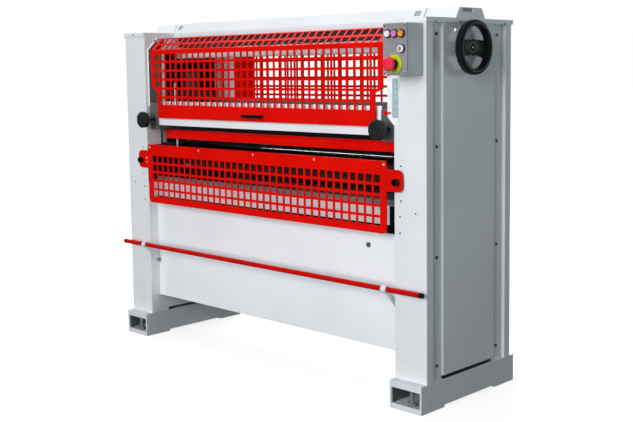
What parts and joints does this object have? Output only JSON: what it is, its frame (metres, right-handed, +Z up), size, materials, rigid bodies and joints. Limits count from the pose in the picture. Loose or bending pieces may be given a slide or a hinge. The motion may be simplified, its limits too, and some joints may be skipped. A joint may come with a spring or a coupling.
{
  "type": "glue spreader",
  "caption": "Floor-standing roll glue spreader: two cabinet columns carry paired rubber and chrome rolls, hinged red mesh guards, a handwheel lift, a knee bar and a push-button box.",
  "frame": {"origin": "centre of the floor anchor pattern, on the underside of the feet", "axes": "+X along the rolls to the control column, -Y towards the infeed side, +Z up"},
  "size_m": [1.691, 0.626, 1.338],
  "materials": {
    "white_paint": "light grey-white textured powder coat",
    "red_paint": "glossy red enamel",
    "grey_box_paint": "grey hammered enamel",
    "zinc_steel": "bright zinc plated",
    "bright_steel": "turned and ground",
    "stainless": "brushed sheet",
    "chrome": "hard chrome, polished",
    "roll_rubber": "ground rubber with fine grooves",
    "casting": "machined casting",
    "motor_alloy": "cast alloy housing",
    "bronze": "cast bronze",
    "black_plastic": "black moulded",
    "dark_plastic": "dark moulded",
    "white_button": "white moulded",
    "red_button": "red moulded",
    "orange_button": "orange moulded",
    "yellow_collar": "yellow moulded",
    "dial_alloy": "anodised blue-grey",
    "white_plate": "white enamel",
    "green_dial": "pale green moulded"
  },
  "bodies": {
    "frame": {"foot_tubes": "white_paint", "levelling_bolts": "zinc_steel", "column_posts": "white_paint", "inner_walls": "white_paint", "side_covers": "white_paint", "column_caps": "white_paint", "panel_screws": "zinc_steel", "frame_ties": "casting", "hood": "white_paint", "front_panel": "white_paint", "rear_panel": "white_paint", "drip_tray": "stainless", "control_box": "grey_box_paint", "box_lid": "grey_box_paint", "button_bezels": "dark_plastic", "stop_collar": "yellow_collar", "scale_plate": "white_plate", "scale_strip": "dial_alloy", "power_inlet": "dark_plastic", "bearing_plates": "casting", "guide_bars": "bright_steel", "bevel_boxes": "casting", "lower_gear_motor": "motor_alloy", "hinge_pins": "zinc_steel", "lower_dams": "black_plastic"},
    "upper_unit": {"upper_carriages": "casting", "lift_nuts": "bronze", "upper_beam": "white_paint", "end_brackets": "casting", "upper_dams": "black_plastic", "pointer": "red_paint", "upper_gear_motor": "motor_alloy"},
    "handwheel": {"handwheel": "black_plastic", "lift_cross_shaft": "bright_steel"},
    "lift_screw_left": {"lift_screw_left": "bright_steel"},
    "lift_screw_right": {"lift_screw_right": "bright_steel"},
    "upper_applicator": {"upper_applicator_shaft": "bright_steel", "upper_applicator_sleeve": "roll_rubber"},
    "doctor_carriage": {"doctor_blocks": "casting"},
    "upper_doctor": {"upper_doctor_roll": "chrome"},
    "doctor_knob_left": {"doctor_knob_left": "black_plastic"},
    "doctor_knob_right": {"doctor_knob_right": "black_plastic"},
    "trip_flap": {"trip_flap": "red_paint"},
    "lower_applicator": {"lower_applicator_shaft": "bright_steel", "lower_applicator_sleeve": "roll_rubber"},
    "lower_doctor": {"lower_doctor_roll": "chrome"},
    "upper_guard": {"upper_guard": "red_paint", "guard_handle": "black_plastic"},
    "rear_guard": {"rear_guard": "red_paint"},
    "lower_guard": {"lower_guard": "red_paint"},
    "guard_knob_left": {"guard_knob_left": "black_plastic"},
    "guard_knob_right": {"guard_knob_right": "black_plastic"},
    "knee_bar": {"knee_bar": "red_paint", "knee_bar_arms": "white_paint"},
    "panel_lock": {"panel_lock": "dark_plastic"},
    "button_white": {"button_white": "white_button"},
    "button_red": {"button_red": "red_button"},
    "button_orange": {"button_orange": "orange_button"},
    "selector_knob": {"selector_knob": "green_dial"},
    "stop_button": {"stop_button": "red_button"}
  },
  "joints": [
    {"name": "upper_unit_lift", "type": "slide", "parent": "frame", "child": "upper_unit", "axis": [0, 0, 1], "range_m": [-0.015, 0.1]},
    {"name": "handwheel_turn", "type": "hinge", "parent": "frame", "child": "handwheel", "pos_m": [0.846, -0.022, 1.203], "axis": [1, 0, 0], "range_deg": [-540, 3600]},
    {"name": "lift_screw_left_turn", "type": "hinge", "parent": "frame", "child": "lift_screw_left", "pos_m": [-0.765, -0.022, 1], "axis": [0, 0, 1], "range_deg": [-3600, 540]},
    {"name": "lift_screw_right_turn", "type": "hinge", "parent": "frame", "child": "lift_screw_right", "pos_m": [0.765, -0.022, 1], "axis": [0, 0, 1], "range_deg": [-540, 3600]},
    {"name": "upper_applicator_spin", "type": "hinge", "parent": "upper_unit", "child": "upper_applicator", "pos_m": [0, 0.05315, 0.934], "axis": [1, 0, 0], "continuous": true},
    {"name": "doctor_gap", "type": "slide", "parent": "upper_unit", "child": "doctor_carriage", "axis": [0, -1, 0], "range_m": [0, 0.003]},
    {"name": "upper_doctor_spin", "type": "hinge", "parent": "doctor_carriage", "child": "upper_doctor", "pos_m": [0, -0.08957, 0.925], "axis": [1, 0, 0], "continuous": true},
    {"name": "doctor_knob_left_turn", "type": "hinge", "parent": "upper_unit", "child": "doctor_knob_left", "pos_m": [-0.649, -0.28, 0.936], "axis": [0, 1, 0], "range_deg": [-540, 0]},
    {"name": "doctor_knob_right_turn", "type": "hinge", "parent": "upper_unit", "child": "doctor_knob_right", "pos_m": [0.649, -0.28, 0.936], "axis": [0, 1, 0], "range_deg": [-540, 0]},
    {"name": "trip_flap_swing", "type": "hinge", "parent": "upper_unit", "child": "trip_flap", "pos_m": [0, -0.15997, 0.886], "axis": [1, 0, 0], "range_deg": [0, 20]},
    {"name": "lower_applicator_spin", "type": "hinge", "parent": "frame", "child": "lower_applicator", "pos_m": [0, 0.05315, 0.757], "axis": [1, 0, 0], "continuous": true},
    {"name": "lower_doctor_spin", "type": "hinge", "parent": "frame", "child": "lower_doctor", "pos_m": [0, -0.08957, 0.766], "axis": [1, 0, 0], "continuous": true},
    {"name": "upper_guard_swing", "type": "hinge", "parent": "frame", "child": "upper_guard", "pos_m": [0, -0.184, 1.264], "axis": [-1, 0, 0], "range_deg": [0, 95]},
    {"name": "rear_guard_swing", "type": "hinge", "parent": "frame", "child": "rear_guard", "pos_m": [0, 0.184, 1.264], "axis": [1, 0, 0], "range_deg": [0, 95]},
    {"name": "lower_guard_swing", "type": "hinge", "parent": "frame", "child": "lower_guard", "pos_m": [0, -0.242, 0.592], "axis": [1, 0, 0], "range_deg": [0, 95]},
    {"name": "guard_knob_left_turn", "type": "hinge", "parent": "lower_guard", "child": "guard_knob_left", "pos_m": [-0.707, -0.26, 0.763], "axis": [0, 1, 0], "continuous": true},
    {"name": "guard_knob_right_turn", "type": "hinge", "parent": "lower_guard", "child": "guard_knob_right", "pos_m": [0.707, -0.26, 0.763], "axis": [0, 1, 0], "continuous": true},
    {"name": "knee_bar_push", "type": "hinge", "parent": "frame", "child": "knee_bar", "pos_m": [0, -0.21, 0.331], "axis": [-1, 0, 0], "range_deg": [0, 8], "stiffness_Nm_per_rad": 20, "springref_deg": -2.86},
    {"name": "panel_lock_turn", "type": "hinge", "parent": "frame", "child": "panel_lock", "pos_m": [0.531, -0.195, 0.528], "axis": [0, 1, 0], "range_deg": [0, 90]},
    {"name": "button_white_press", "type": "slide", "parent": "frame", "child": "button_white", "axis": [0, 1, 0], "range_m": [0, 0.003], "stiffness_N_per_m": 400},
    {"name": "button_red_press", "type": "slide", "parent": "frame", "child": "button_red", "axis": [0, 1, 0], "range_m": [0, 0.003], "stiffness_N_per_m": 400},
    {"name": "button_orange_press", "type": "slide", "parent": "frame", "child": "button_orange", "axis": [0, 1, 0], "range_m": [0, 0.003], "stiffness_N_per_m": 400},
    {"name": "selector_turn", "type": "hinge", "parent": "frame", "child": "selector_knob", "pos_m": [0.78875, -0.33, 1.199], "axis": [0, 1, 0], "range_deg": [-45, 45]},
    {"name": "stop_button_press", "type": "slide", "parent": "frame", "child": "stop_button", "axis": [0, 1, 0], "range_m": [0, 0.004], "stiffness_N_per_m": 800}
  ],
  "couplings": [
    {"joint": "handwheel_turn", "follows": "upper_unit_lift", "rad_per_m": 628.32},
    {"joint": "lift_screw_left_turn", "follows": "upper_unit_lift", "rad_per_m": -628.32},
    {"joint": "lift_screw_right_turn", "follows": "upper_unit_lift", "rad_per_m": 628.32},
    {"joint": "doctor_knob_left_turn", "follows": "doctor_gap", "rad_per_m": -3141.6},
    {"joint": "doctor_knob_right_turn", "follows": "doctor_gap", "rad_per_m": -3141.6},
    {"joint": "upper_doctor_spin", "follows": "upper_applicator_spin", "ratio": -1.3143},
    {"joint": "lower_doctor_spin", "follows": "lower_applicator_spin", "ratio": -1.3143}
  ]
}
